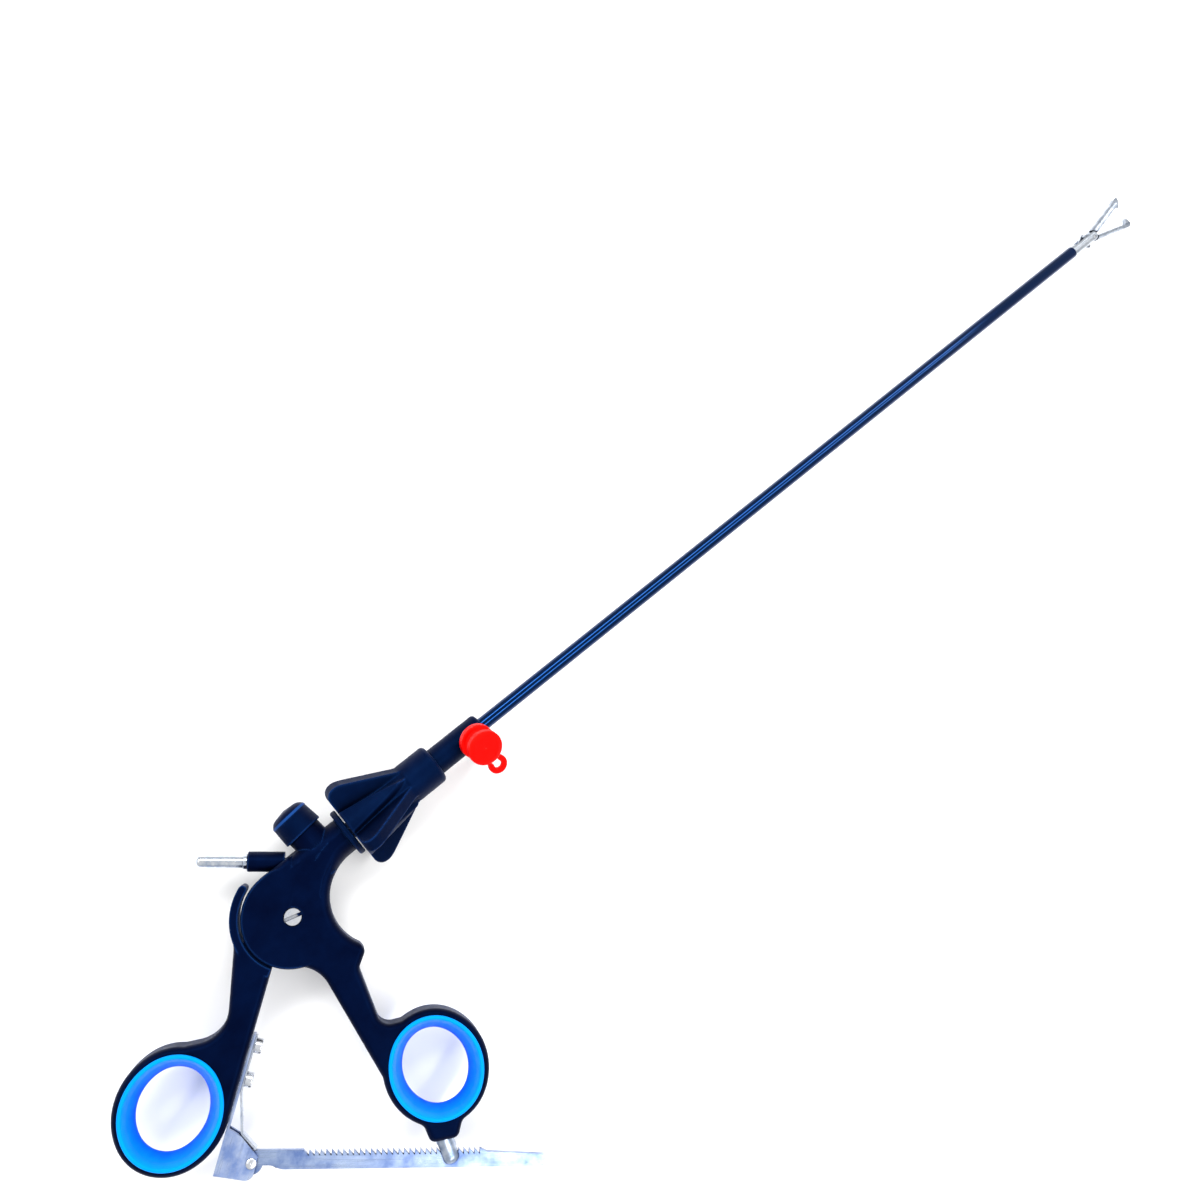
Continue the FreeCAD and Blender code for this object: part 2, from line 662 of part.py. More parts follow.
# Flushing port with a 6 per cent taper, and its pull-off cap
port_high = 12.0
port = lathe([
    (tube_r + 0.1, 1.0), (5.0, 1.0), (5.0, 1.92), (port_high, 2.135), (port_high, 2.9, 0.2),
    (5.3, 2.9), (5.3, 2.3), (tube_r + 0.1, 2.3),
], port_at, port_way)
save("luer_port", port)
cap_r = 6.0
cap_low = 5.4
cap_high = 14.6
eye_at = 8.4
flush_cap = lathe([
    (cap_low, 2.95), (port_high + 0.1, 2.95), (port_high + 0.1, 1.85), (7.5, 1.75, 0.3), (7.5, 0),
    (cap_high, 0), (cap_high, cap_r, 0.7), (cap_high - 2.6, cap_r, 0.5), (cap_high - 2.9, 4.6, 0.5),
    (cap_low + 2.9, 4.6, 0.5), (cap_low + 2.6, cap_r, 0.5), (cap_low, cap_r, 0.5),
], port_at, port_way)
tab = plate([(0, -3.6), (eye_at, -2.9, 1.5), (eye_at + 3.2, -2.4, 2.3), (eye_at + 3.2, 2.4, 2.3),
             (eye_at, 2.9, 1.5), (0, 3.6)], cap_low + 0.1, cap_low + 2.4)
tab = tab.cut([
    Part.makeCylinder(1.75, 20, V(eye_at, 0, 0)),
    Part.makeCylinder(4.0, 20, V(0, 0, 0)),
])
tab = tab.makeFillet(0.5, [edge for edge in rims(tab, cap_low + 2.4) if edge.BoundBox.XMax > 6])
tab.rotate(MIDDLE, FACING, -90)
tab = roll(tab, port_roll)
tab.translate(port_at)
save("flush_cap", join([flush_cap, tab]))

# Jaw yoke: a steel sleeve with a rounded end and an open slot
cheek_gap = 1.15
slot_back = insulation_end + 2.6
yoke = lathe([
    (insulation_end + seat_gap, tube_r + seat_gap), (insulation_end + 2.1, tube_r + seat_gap),
    (insulation_end + 2.1, lumen_r), (yoke_end, lumen_r), (yoke_end, yoke_r, 0.95),
    (insulation_end + seat_gap, yoke_r),
], MIDDLE, ALONG)
prongs = plate([(insulation_end - 1, -5), (pivot_x, -5), (pivot_x, 5), (insulation_end - 1, 5)], -5, 5)
prongs = prongs.fuse(Part.makeCylinder(prong_end_r, 10, V(pivot_x, 0, -5)))
yoke_fill = rod(V(slot_back, 0, 0), V(yoke_end, 0, 0), yoke_r - 0.4)
jaw_yoke = yoke.fuse(yoke_fill).common(prongs)
jaw_slot = plate([(slot_back, -5, 0.6), (yoke_end + 2, -5), (yoke_end + 2, 5), (slot_back, 5, 0.6)],
                 -cheek_gap, cheek_gap)
pin_r = 0.75
save("jaw_yoke", roll(jaw_yoke.cut([
    jaw_slot,
    Part.makeCylinder(pin_r + seat_gap, 10, V(pivot_x, 0, -5)),
    rod(V(insulation_end, 0, 0), V(slot_back + 1, 0, 0), lumen_r),
]), tip_roll))
save("jaw_pivot_pin", roll(Part.makeCylinder(pin_r, 2 * yoke_r - 0.2, V(pivot_x, 0, 0.1 - yoke_r)), tip_roll))

# Jaws, shown first closed and then opened by the rest angle
rest_open = 13.5
tail_reach = 4.2
tail_closed = 17.0
tail_rest = tail_closed + rest_open
link_length = 4.8
layer_in = 0.05
layer_out = 1.05
bar_start = 2.8
bar_back_r = 2.25
bar_front_r = 2.0
tail_pin_r = 0.4
hook_start = 20.35
half_end = 20.0


def jaw_shape():
    """The upper jaw, closed, with its pivot at the origin: its plate lies on the -Z side."""
    shell = rod(V(1.5, 0, 0), V(half_end, 0, 0), bar_back_r, bar_front_r)
    shell = shell.fuse(rod(V(half_end, 0, 0), V(23.2, 0, 0), bar_front_r, bar_front_r - 0.15))
    shell = shell.common(block((0, 23.2), (0.03, 5), (-5, 5)))
    shell = shell.cut(Part.makeCylinder(bar_start, 10, V(0, 0, -5)))
    shell = shell.cut(block((half_end, 30), (-1, 5), (0, 5)))
    base = plate([
        (-1.0, 1.9, 1.2), (2.0, 1.9, 1.0), (4.6, 1.6), (4.6, 0.05), (2.9, 0.05, 0.6), (1.9, -0.5), (1.0, -1.9, 1.2),
        (-1.2, -1.8, 1.2),
    ], -layer_out, -layer_in)
    base = base.fuse(Part.makeCylinder(2.0, layer_out - layer_in, V(0, 0, -layer_out)))
    tail_at = polar(MIDDLE, tail_reach, 180 + tail_closed)
    side = V(-tail_at.y, tail_at.x, 0).normalize()
    arm_points = [MIDDLE + side * 0.95, tail_at + side * 0.75, tail_at - side * 0.75, MIDDLE - side * 0.95]
    arm = plate([(point.x, point.y) for point in arm_points], -layer_out, -layer_in)
    eye = Part.makeCylinder(0.75, layer_out - layer_in, tail_at - V(0, 0, layer_out))
    hook = plate([
        (18.6, 0.1), (hook_start, 0.05, 0.8), (20.75, -2.3, 0.15), (21.45, -2.35, 0.3),
        (23.2, 0.2, 1.0), (23.1, 1.7, 0.8), (19.5, 1.8),
    ], -5, -layer_in).common(rod(V(15, 0, 0), V(30, 0, 0), 2.45, 2.15).common(
        block((0, 40), (-5, 5), (-1.75, 5))))
    jaw = join([shell, base, arm, eye, hook])
    return jaw.cut([
        Part.makeCylinder(pin_r + 0.03, 10, V(0, 0, -5)),
        Part.makeCylinder(tail_pin_r + seat_gap, 10, tail_at - V(0, 0, 5)),
    ])


def tail_pin():
    """The upper jaw's tail pin, closed: it reaches from the jaw's plate into its link."""
    tail_at = polar(MIDDLE, tail_reach, 180 + tail_closed)
    return Part.makeCylinder(tail_pin_r, 2 * layer_out, tail_at - V(0, 0, layer_out))


def set_jaw(shape, upper):
    """Open a jaw piece to rest and put it on the pivot; the lower one is turned over."""
    shape.rotate(MIDDLE, FACING, rest_open)
    if not upper:
        shape.rotate(MIDDLE, ALONG, 180)
    shape.translate(V(pivot_x, 0, 0))
    return roll(shape, tip_roll)


# Links between the rod pin and the two tails
rod_pin_x = pivot_x - tail_reach * math.cos(math.radians(tail_rest)) - math.sqrt(
    link_length ** 2 - (tail_reach * math.sin(math.radians(tail_rest))) ** 2)
link_slope = math.degrees(math.asin(tail_reach * math.sin(math.radians(tail_rest)) / link_length))
link_in = 0.35
link_out = 1.0
rod_pin_r = 0.45


def link_shape():
    """A flat link, lying along +X with the rod pin at the origin, on the +Z side."""
    body = plate([(0, -0.8), (link_length, -0.75), (link_length, 0.75), (0, 0.8)], link_in, link_out)
    body = join([
        body,
        Part.makeCylinder(0.95, link_out - link_in, V(0, 0, link_in)),
        Part.makeCylinder(1.0, link_out - link_in, V(link_length, 0, link_in)),
    ])
    return body.cut([
        Part.makeCylinder(rod_pin_r + 0.03, 5, V(0, 0, -1)),
        Part.makeCylinder(tail_pin_r + 0.26, 5, V(link_length, 0, -1)),
    ])


for name, upper in (("upper", True), ("lower", False)):
    save("jaw_" + name, set_jaw(jaw_shape(), upper))
    save("tail_pin_" + name, set_jaw(tail_pin(), upper))
    link = link_shape()
    link.rotate(MIDDLE, FACING, -link_slope)
    if not upper:
        link.rotate(MIDDLE, ALONG, 180)
    link.translate(V(rod_pin_x, 0, 0))
    save("link_" + name, roll(link, tip_roll))

# Pull rod from the shuttle to the links, with a ball at one end and a flat blade at the other
blade_half = 0.3
blade_start = rod_pin_x - 2.6
pull_rod = join([
    Part.makeSphere(ball_r, ball_at),
    rod(ball_at, V(rod_pin_x - 1, 0, 0), rod_r),
    block((blade_start, rod_pin_x), (-0.9, 0.9), (-blade_half, blade_half)),
    Part.makeCylinder(0.9, 2 * blade_half, V(rod_pin_x, 0, -blade_half)),
])
flats = [block((blade_start, rod_pin_x + 3), (-2, 2), (blade_half, 2)),
         block((blade_start, rod_pin_x + 3), (-2, 2), (-2, -blade_half))]
save("pull_rod", roll(pull_rod.cut(flats + [
    Part.makeCylinder(rod_pin_r + seat_gap, 4, V(rod_pin_x, 0, -2))]), tip_roll))
save("rod_link_pin", roll(Part.makeCylinder(rod_pin_r, 2 * layer_out, V(rod_pin_x, 0, -layer_out)), tip_roll))
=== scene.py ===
# %% [markdown]
# # A pistol-grip grasper for keyhole surgery
# The instrument lies on a pale table and is seen from above: two ring handles with blue liners, a
# winged knob, a red flushing cap, a long glossy shaft and a small pair of steel jaws.
# The exact solids of every piece are loaded first. The moulded pieces with soft, flowing forms are then
# made again as smooth surfaces, and every other piece keeps its solid and gets a finish of its own.

import math

import bmesh
import bpy
import numpy as np
from mathutils import Matrix, Vector


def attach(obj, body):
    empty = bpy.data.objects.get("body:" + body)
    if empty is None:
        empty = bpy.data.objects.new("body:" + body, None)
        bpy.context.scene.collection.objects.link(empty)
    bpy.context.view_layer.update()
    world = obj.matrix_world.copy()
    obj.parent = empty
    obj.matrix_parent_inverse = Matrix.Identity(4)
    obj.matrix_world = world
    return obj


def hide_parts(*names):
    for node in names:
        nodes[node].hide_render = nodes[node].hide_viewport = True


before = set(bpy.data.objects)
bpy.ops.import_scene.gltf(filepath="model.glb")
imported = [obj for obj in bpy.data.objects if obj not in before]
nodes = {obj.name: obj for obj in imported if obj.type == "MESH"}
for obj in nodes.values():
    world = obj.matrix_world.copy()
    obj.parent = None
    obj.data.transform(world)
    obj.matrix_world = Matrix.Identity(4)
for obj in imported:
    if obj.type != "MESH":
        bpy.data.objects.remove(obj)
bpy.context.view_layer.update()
MM = 0.001
print("solids loaded:", len(nodes))

# %% [markdown]
# ## From an array of points to a closed surface
# A moulded form can be pushed and pulled by hand, cut from blocks, or worked out as a function of two
# parameters. The last way is used here, because the real pieces are turned, swept or blended forms
# with a clear rule behind them. One helper turns a grid of points, closed in both directions, into a mesh.


# %% Put a closed grid of points into a mesh
def grid_faces(rows, columns):
    """Every point (i, j) makes a quad with its next neighbours; both counts wrap round to the start."""
    i, j = np.meshgrid(np.arange(rows), np.arange(columns), indexing="ij")
    below, beside = (i + 1) % rows, (j + 1) % columns
    corners = [i * columns + j, below * columns + j, below * columns + beside, i * columns + beside]
    return np.stack([corner.ravel() for corner in corners], axis=1)


def signed_volume(points, quads):
    """A sixth of the sum of the triple products of each triangle's corners: positive if faces point out."""
    a, b, c, d = (points[quads[:, k]] for k in range(4))
    first = np.einsum("ij,ij->i", a, np.cross(b, c))
    second = np.einsum("ij,ij->i", a, np.cross(c, d))
    return float((first + second).sum() / 6)


def skin(name, grids):
    """One object from closed grids of points in millimetres, each turned so that its faces point out."""
    points, quads, start = [], [], 0
    for grid in grids:
        flat = grid.reshape(-1, 3) * MM
        faces = grid_faces(grid.shape[0], grid.shape[1])
        if signed_volume(flat, faces) < 0:
            faces = faces[:, ::-1]
        points.append(flat)
        quads.append(faces + start)
        start += len(flat)
    points, quads = np.concatenate(points), np.concatenate(quads)
    mesh = bpy.data.meshes.new(name)
    mesh.vertices.add(len(points))
    mesh.vertices.foreach_set("co", points.ravel())
    mesh.loops.add(quads.size)
    mesh.loops.foreach_set("vertex_index", quads.ravel().astype(np.int32))
    mesh.polygons.add(len(quads))
    mesh.polygons.foreach_set("loop_start", np.arange(0, quads.size, 4, dtype=np.int32))
    mesh.polygons.foreach_set("use_smooth", np.ones(len(quads), dtype=bool))
    mesh.update(calc_edges=True)
    mesh.validate()
    piece = bpy.data.objects.new(name, mesh)
    bpy.context.scene.collection.objects.link(piece)
    print(name, "faces:", len(quads), "volume in mm3:", round(signed_volume(points, quads) / MM**3, 1))
    return piece


# %% [markdown]
# ## Finger ring liners
# A soft blue ring is pressed into each handle ring. It narrows like a funnel from both faces to a throat
# in the middle, and its rounded lip lies over the edge of the black plastic. It could be a torus that is
# scaled and sculpted. Here a section is carried round the same oval of four arcs as the solid, so the
# liner fills its seat exactly, and only the section is made softer.


# %% Four arcs make the oval
def oval_path(long, short, samples):
    """The oval's points and outward directions: two end arcs of 0.9 times the short half width, and two
    side arcs that meet them with a common tangent. Each arc is swept evenly from its first angle."""
    end_r = 0.9 * short
    end_x = long - end_r
    side_r = (end_x**2 + short**2 - end_r**2) / (2 * (short - end_r))
    side_y = side_r - short
    lean = math.atan2(side_y, end_x)
    arcs = [
        (end_x, 0.0, end_r, -lean, 2 * lean),
        (0.0, -side_y, side_r, lean, math.pi - 2 * lean),
        (-end_x, 0.0, end_r, math.pi - lean, 2 * lean),
        (0.0, side_y, side_r, math.pi + lean, math.pi - 2 * lean),
    ]
    part = np.arange(samples) / samples
    spots, ways = [], []
    for middle_x, middle_y, radius, first, sweep in arcs:
        angle = first + sweep * part
        way = np.stack([np.cos(angle), np.sin(angle)], axis=1)
        spots.append(np.array([middle_x, middle_y]) + radius * way)
        ways.append(way)
    return np.concatenate(spots), np.concatenate(ways)


# %% A soft section for the liner
corner_soft = 0.16


def soft_loop(corners, samples, width):
    """A closed outline through the corners, sampled evenly along its length, whose corners are rounded
    by averaging each point with its neighbours, weighted by a bell curve of the given width in mm."""
    loop = np.array(corners + corners[:1], float)
    steps = np.hypot(*np.diff(loop, axis=0).T)
    along = np.concatenate([[0], np.cumsum(steps)])
    at = np.arange(samples) / samples * along[-1]
    points = np.stack([np.interp(at, along, loop[:, k]) for k in (0, 1)], axis=1)
    offset = (np.arange(samples) - samples // 2) * along[-1] / samples
    bell = np.exp(-0.5 * (offset / width) ** 2)
    bell = np.roll(bell / bell.sum(), -(samples // 2))
    spectrum = np.fft.rfft(points, axis=0) * np.fft.rfft(bell)[:, None]
    return np.fft.irfft(spectrum, n=samples, axis=0)


liner_corners = [
    (3.70, -5.50), (3.70, 5.50), (4.50, 5.52), (4.62, 5.72), (4.35, 6.16), (3.40, 6.20), (2.85, 5.20),
    (2.15, 3.60), (0.75, 1.60), (0.18, 0.75), (-0.04, 0.12), (-0.04, -0.12), (0.18, -0.75), (0.75, -1.60),
    (2.15, -3.60), (2.85, -5.20), (3.40, -6.20), (4.35, -6.16), (4.62, -5.72), (4.50, -5.52),
]
liner_section = soft_loop(liner_corners, 132, corner_soft)
print("liner section, offset from the throat and height in mm:", liner_section.min(0), liner_section.max(0))


# %% Carry the section round each oval
def ring_liner(name, middle, turn, long, short):
    """Point (u, v) is the oval's point u, moved outwards by the section's offset v and up by its height,
    then turned and moved to the ring."""
    spots, ways = oval_path(long, short, 44)
    flat = spots[:, None, :] + ways[:, None, :] * liner_section[None, :, 0:1]
    angle = math.radians(turn)
    x = flat[..., 0] * math.cos(angle) - flat[..., 1] * math.sin(angle) + middle[0]
    y = flat[..., 0] * math.sin(angle) + flat[..., 1] * math.cos(angle) + middle[1]
    z = np.broadcast_to(liner_section[None, :, 1], x.shape)
    return skin(name, [np.stack([x, y, z], axis=-1)])


thumb_liner = ring_liner("thumb_liner_soft", (-146.0, -32.6), 37.0, 12.2, 10.6)
finger_liner = ring_liner("finger_liner_soft", (-79.3, -76.3), 78.0, 11.9, 10.3)
for piece, node, body in (
    (thumb_liner, "thumb_ring_insert", "lever"), (finger_liner, "finger_ring_insert", "grip"),
):
    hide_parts(node)
    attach(piece, body)

# %% [markdown]
# ## Rotation knob
# The knob turns the shaft. It is one moulding: a core that tapers towards a round collar, four wings for
# the fingertip, and a tapering lobe in the hollow between two wings. Boxes and a cone joined by booleans
# would give hard seams. Seen along the shaft every point has one radius, so the whole skin is one radius
# function of the place along the shaft and the angle, and the joins blend by themselves.


# %% Soft choice between two lengths
def soft_max(a, b, sharp):
    """The larger of two lengths, blended where they are close: the log of the sum of their exponentials."""
    return np.logaddexp(a * sharp, b * sharp) / sharp


def soft_min(a, b, sharp):
    """The smaller of two lengths, blended in the same way."""
    return -soft_max(-a, -b, sharp)


def quarter(distance, radius):
    """How far a rounded edge falls back: zero from one radius inwards, the whole radius at the edge."""
    left = np.clip(radius - distance, 0, radius)
    return radius - np.sqrt(radius**2 - left**2)


# %% The knob's radius
knob_rear, collar_rear, collar_front = -54.8, -31.5, -20.0
core_r, core_fall, collar_r = 7.6, 0.9, 7.1
lobe_rear, lobe_fall, lobe_reach, lobe_end, lobe_edge = 3.2, 2.0, 28.0, 0.95, 16
wing_foot, wing_rise = (-54.7, 16.2), 1.4 / 3.9
wing_top, wing_fall = (-50.8, 17.6), 11.0 / 19.6
wing_half = 2.25


def knob_radius(x, theta):
    """Core: a taper from 7.6 to 6.7 mm, and on it between two wings a lobe that is 28 degrees wide each way
    at the rear and runs out near the collar. Wing: the smaller of its outline's height over the cosine
    and its half thickness over the sine. The knob is the soft larger of both."""
    along = np.clip((x - knob_rear) / (collar_rear - knob_rear), 0, 1)
    core = core_r - core_fall * along - quarter(x - knob_rear, 0.8)
    collar = collar_r - quarter(collar_front - x, 1.6)
    step = 1 / (1 + np.exp(-(x - collar_rear) / 0.12))
    folded = np.mod(theta + math.pi / 4, math.pi / 2) - math.pi / 4
    away = np.degrees(np.abs(folded))
    reach = lobe_reach * np.clip(1 - along / lobe_end, 0, 1) ** 0.5
    edge = np.clip((reach - (45 - away)) / lobe_edge + 0.5, 0, 1)
    lobe = (lobe_rear - lobe_fall * along) * edge * edge * (3 - 2 * edge)
    core = (core + lobe) * (1 - step) + collar * step
    rising = wing_foot[1] + (x - wing_foot[0]) * wing_rise
    falling = wing_top[1] - (x - wing_top[0]) * wing_fall
    outline = soft_min(rising, falling, 1.1) - quarter(x - knob_rear - 0.05, 2.4)
    across = wing_half / np.maximum(np.abs(np.sin(folded)), 1e-3)
    wing = soft_min(outline / np.cos(folded), across, 1.5)
    return soft_max(core, wing, 2.6)


# %% Close the knob through its faces and bores
spigot_bore, hub_bore, bore_step = 3.01, 4.81, -30.0
knob_roll = math.radians(118.0)


def knob_grid(rings, turns):
    """Rows run out over the rear face, forwards along the skin, in over the front face and back through
    the wide and the narrow bore. Angles lie closer together near the wings: the angle less a fifth of
    the sine of four times the angle."""
    u = np.arange(turns) / turns * 2 * math.pi
    theta = (u - 0.2 * np.sin(4 * u))[None, :]
    s = np.linspace(0, 1, rings)
    s = 0.45 * s + 0.55 * (1 - np.cos(math.pi * s)) / 2
    side_x = (knob_rear + (collar_front - knob_rear) * s)[:, None]
    side_r = knob_radius(side_x, theta)
    face = np.linspace(0, 1, 9)[:-1, None]
    rear_r = spigot_bore + (side_r[:1] - spigot_bore) * face
    front_r = side_r[-1:] + (hub_bore - side_r[-1:]) * np.linspace(0, 1, 6)[1:, None]
    bore_x = np.array([-22.0, -26.0, bore_step, bore_step, -38.0, -46.0])[:, None]
    bore_r = np.array([hub_bore] * 3 + [spigot_bore] * 3)[:, None]
    ones = np.ones_like(theta)
    x = np.concatenate([knob_rear * np.ones((8, 1)), side_x, collar_front * np.ones((5, 1)), bore_x]) * ones
    r = np.concatenate([rear_r, side_r, front_r, bore_r * ones])
    return np.stack([x, r * np.cos(theta + knob_roll), r * np.sin(theta + knob_roll)], axis=-1)


knob = skin("rotation_knob_blended", [knob_grid(104, 416)])
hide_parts("rotation_knob")
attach(knob, "sheath")

# %% [markdown]
# ## Flushing cap
# A soft red cap closes the flushing port. It is turned in shape, a waist between two discs, and a loop
# hangs from the lower disc to pull it off with. A profile carried round the port's axis gives the body,
# and the loop is a flat rounded section carried round its eye, drawn out into a teardrop towards the body.

# %% Directions at the port
port_roll = math.radians(28.0)
port_at = np.array([-5.2, 0.0, 0.0])
port_way = np.array([0.0, -math.sin(port_roll), math.cos(port_roll)])
port_side = np.array([1.0, 0.0, 0.0])
port_down = np.array([0.0, -math.cos(port_roll), -math.sin(port_roll)])


def at_port(x, down, up):
    """A point from its distances along the shaft, towards the loop, and up the port."""
    return port_at + x[..., None] * port_side + down[..., None] * port_down + up[..., None] * port_way


# %% Body and loop of the cap
loop_r, loop_draw, loop_wide, loop_high = 2.4, 4.2, 1.05, 1.0
eye_down, loop_up, loop_turn = 12.2, 6.65, math.radians(7.0)
cap_profile = soft_loop([
    (2.95, 5.4), (2.95, 12.1), (1.85, 12.1), (1.75, 7.5), (0.02, 7.5), (0.02, 14.5), (4.6, 14.62),
    (5.95, 14.35), (6.02, 13.6), (6.02, 12.3), (5.7, 11.95), (4.55, 11.7), (4.5, 8.4), (5.7, 8.1),
    (6.02, 7.8), (6.02, 5.7), (5.7, 5.4),
], 168, corner_soft)
cap_profile[:, 0] = np.maximum(cap_profile[:, 0], 0.002)


def cap_body(turns):
    """The profile's radius and height carried round the port's axis."""
    angle = (np.arange(turns) / turns * 2 * math.pi)[:, None]
    radius, height = cap_profile[None, :, 0], cap_profile[None, :, 1]
    return at_port(radius * np.cos(angle), radius * np.sin(angle), height * np.ones_like(angle))


def squared(wave, power):
    """A sine or cosine with a squarer curve: its sign times its size to the power."""
    return np.sign(wave) * np.abs(wave) ** power


def cap_loop(turns, section):
    """The loop's middle line has radius 2.4 mm round the eye, plus 4.2 mm times the eighth power of the
    cosine towards the body, and it is turned 7 degrees round the port. Its section is a flattened circle
    2.1 by 2 mm with squared corners."""
    angle = (np.arange(turns) / turns * 2 * math.pi)[:, None]
    line = loop_r + loop_draw * np.clip(-np.cos(angle), 0, 1) ** 8
    part = (np.arange(section) / section * 2 * math.pi)[None, :]
    radius = line + loop_wide * squared(np.cos(part), 0.6)
    height = loop_up + loop_high * squared(np.sin(part), 0.6) * np.ones_like(angle)
    across, down = radius * np.sin(angle), eye_down + radius * np.cos(angle)
    cos, sin = math.cos(loop_turn), math.sin(loop_turn)
    return at_port(across * cos + down * sin, down * cos - across * sin, height)


cap = skin("flush_cap_moulded", [cap_body(96), cap_loop(96, 24)])
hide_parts("flush_cap")
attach(cap, "cap")

# %% [markdown]
# ## Grip with a hollow front
# Below the neck the real grip is hollowed by one long arc for the forefinger, from the flange down to the
# finger stop, with a wide soft edge, and the round neck flows into the flat cheeks without a step. The
# solid's pivot disc bulges into that arc. So a copy of the solid is cut with a turned form that has the
# arc and its soft edge, and a blended neck is joined to it, which keeps all other forms of the solid.


# %% A form turned round an upright line, and a blended neck
def turned_form(centre, profile, turns):
    """The profile's distance and height in mm carried round an upright line through the centre."""
    angle = (np.arange(turns) / turns * 2 * math.pi)[:, None]
    radius, height = profile[None, :, 0], profile[None, :, 1]
    return np.stack([centre[0] + radius * np.cos(angle), centre[1] + radius * np.sin(angle),
                     height * np.ones_like(angle)], axis=-1)


front_centre, front_r, soft_edge, cheek_z = (-59.74, -22.54), 16.36, 2.8, 5.5
form_r, form_z, spare = 24.0, 9.0, 0.4
rim, lid = front_r + soft_edge + spare, cheek_z + spare
bend = np.linspace(0, math.pi / 2, 13)
upper_r, upper_z = front_r + soft_edge * (1 - np.cos(bend)), cheek_z - soft_edge * (1 - np.sin(bend))
upper = np.stack([upper_r, upper_z], axis=1)
outer = np.array([[rim, lid], [form_r, lid], [form_r, form_z], [0.01, form_z]])
front_profile = np.concatenate([outer[::-1] * [1, -1], upper[::-1] * [1, -1], upper, outer])


neck_front, neck_rear, neck_top, neck_half = -57.25, -83.5, 6.03, 6.04
blend_from, thin_from, blend_long = -60.5, -64.0, 15.0


def neck_blend(rows, turns):
    """Sections across the shaft's line. The underside lies a little below the front arc, which is cut
    later, the top follows the grip's outline, and the half thickness falls from the round neck to just
    under the cheek. The section is a superellipse, round at the flange and squarer towards the cheeks."""
    x = np.linspace(neck_front, neck_rear, rows)[:, None]
    into = np.clip((blend_from - x) / blend_long, 0, 1)
    into = into * into * (3 - 2 * into)
    under = front_centre[1] + np.sqrt(np.clip(front_r**2 - (x - front_centre[0])**2, 20.0, None))
    under = np.where(x > front_centre[0], front_centre[1] + front_r, under)
    under = np.maximum(under - 0.5 * into, -15.5)
    top = neck_top - 0.6 * into
    middle, half_y = (top + under) / 2, (top - under) / 2
    half_z = neck_half - 0.62 * np.clip((thin_from - x) / blend_long, 0, 1) ** 1.5
    power = 2 / (2 + 2.4 * into)
    angle = np.arange(turns) / turns * 2 * math.pi
    y = middle + half_y * squared(np.cos(angle)[None, :], power)
    z = half_z * squared(np.sin(angle)[None, :], power)
    closing = np.linspace(0.92, 0.0, 6)[:, None]
    start, end = (x[0, 0], middle[0, 0]), (x[-1, 0], middle[-1, 0])
    first_y, first_z = start[1] + (y[:1] - start[1]) * closing[::-1], z[:1] * closing[::-1]
    last_y, last_z = end[1] + (y[-1:] - end[1]) * closing, z[-1:] * closing
    return np.stack([
        np.concatenate([np.full_like(first_y, start[0]), x * np.ones_like(y), np.full_like(last_y, end[0])]),
        np.concatenate([first_y, y, last_y]), np.concatenate([first_z, z, last_z])], axis=-1)


# %% Cut and join
def solid_copy(name, node):
    """A copy of a solid's mesh as a piece of its own, with its loose triangles joined."""
    piece = bpy.data.objects.new(name, nodes[node].data.copy())
    bpy.context.scene.collection.objects.link(piece)
    form = bmesh.new()
    form.from_mesh(piece.data)
    bmesh.ops.remove_doubles(form, verts=form.verts, dist=1e-7)
    form.to_mesh(piece.data)
    form.free()
    piece.data.materials.clear()
    return piece


def carve(piece, tool, kind):
    """Cut a helper form from the piece or join it on, and drop the helper."""
    step = piece.modifiers.new("form", "BOOLEAN")
    step.operation, step.solver, step.object = kind, "EXACT", tool
    shaped = bpy.data.meshes.new_from_object(piece.evaluated_get(bpy.context.evaluated_depsgraph_get()))
    piece.modifiers.clear()
    piece.data = shaped
    bpy.data.objects.remove(tool)


def box(name, low, high):
    """A closed box between two corners in millimetres: a cube of side 1, stretched and moved."""
    low, high = np.array(low), np.array(high)
    form = bmesh.new()
    bmesh.ops.create_cube(form, size=1.0)
    mesh = bpy.data.meshes.new(name)
    form.to_mesh(mesh)
    form.free()
    points = np.empty(3 * len(mesh.vertices), np.float32)
    mesh.vertices.foreach_get("co", points)
    placed = (low + high) / 2 * MM + points.reshape(-1, 3).astype(float) * (high - low) * MM
    mesh.vertices.foreach_set("co", placed.ravel())
    piece = bpy.data.objects.new(name, mesh)
    bpy.context.scene.collection.objects.link(piece)
    return piece


grip_piece = solid_copy("handle_body_moulded", "handle_body")
trim_z = 6.6
for side, low, high in (("front", cheek_z, trim_z), ("back", -trim_z, -cheek_z)):
    carve(grip_piece, box("neck_trim_" + side, (-79.0, -6.5, low), (-61.0, 3.0, high)), "DIFFERENCE")
carve(grip_piece, skin("neck_form", [neck_blend(90, 96)]), "UNION")
carve(grip_piece, skin("front_form", [turned_form(front_centre, front_profile, 160)]), "DIFFERENCE")
grip_faces = grip_piece.data.polygons
grip_faces.foreach_set("use_smooth", np.ones(len(grip_faces), dtype=bool))
grip_piece.data.set_sharp_from_angle(angle=math.radians(32))
even = grip_piece.modifiers.new("even", "WEIGHTED_NORMAL")
even.keep_sharp, even.weight = True, 100
print("grip faces:", len(grip_faces))
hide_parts("handle_body")
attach(grip_piece, "grip")

# %% [markdown]
# ## The pivot screw's slot
# A screw stops where it is tight, so its slot points anywhere. The one on the instrument stands about 17
# degrees off the shaft's line, and a copy of the solid is turned to that. The solid itself stays put.

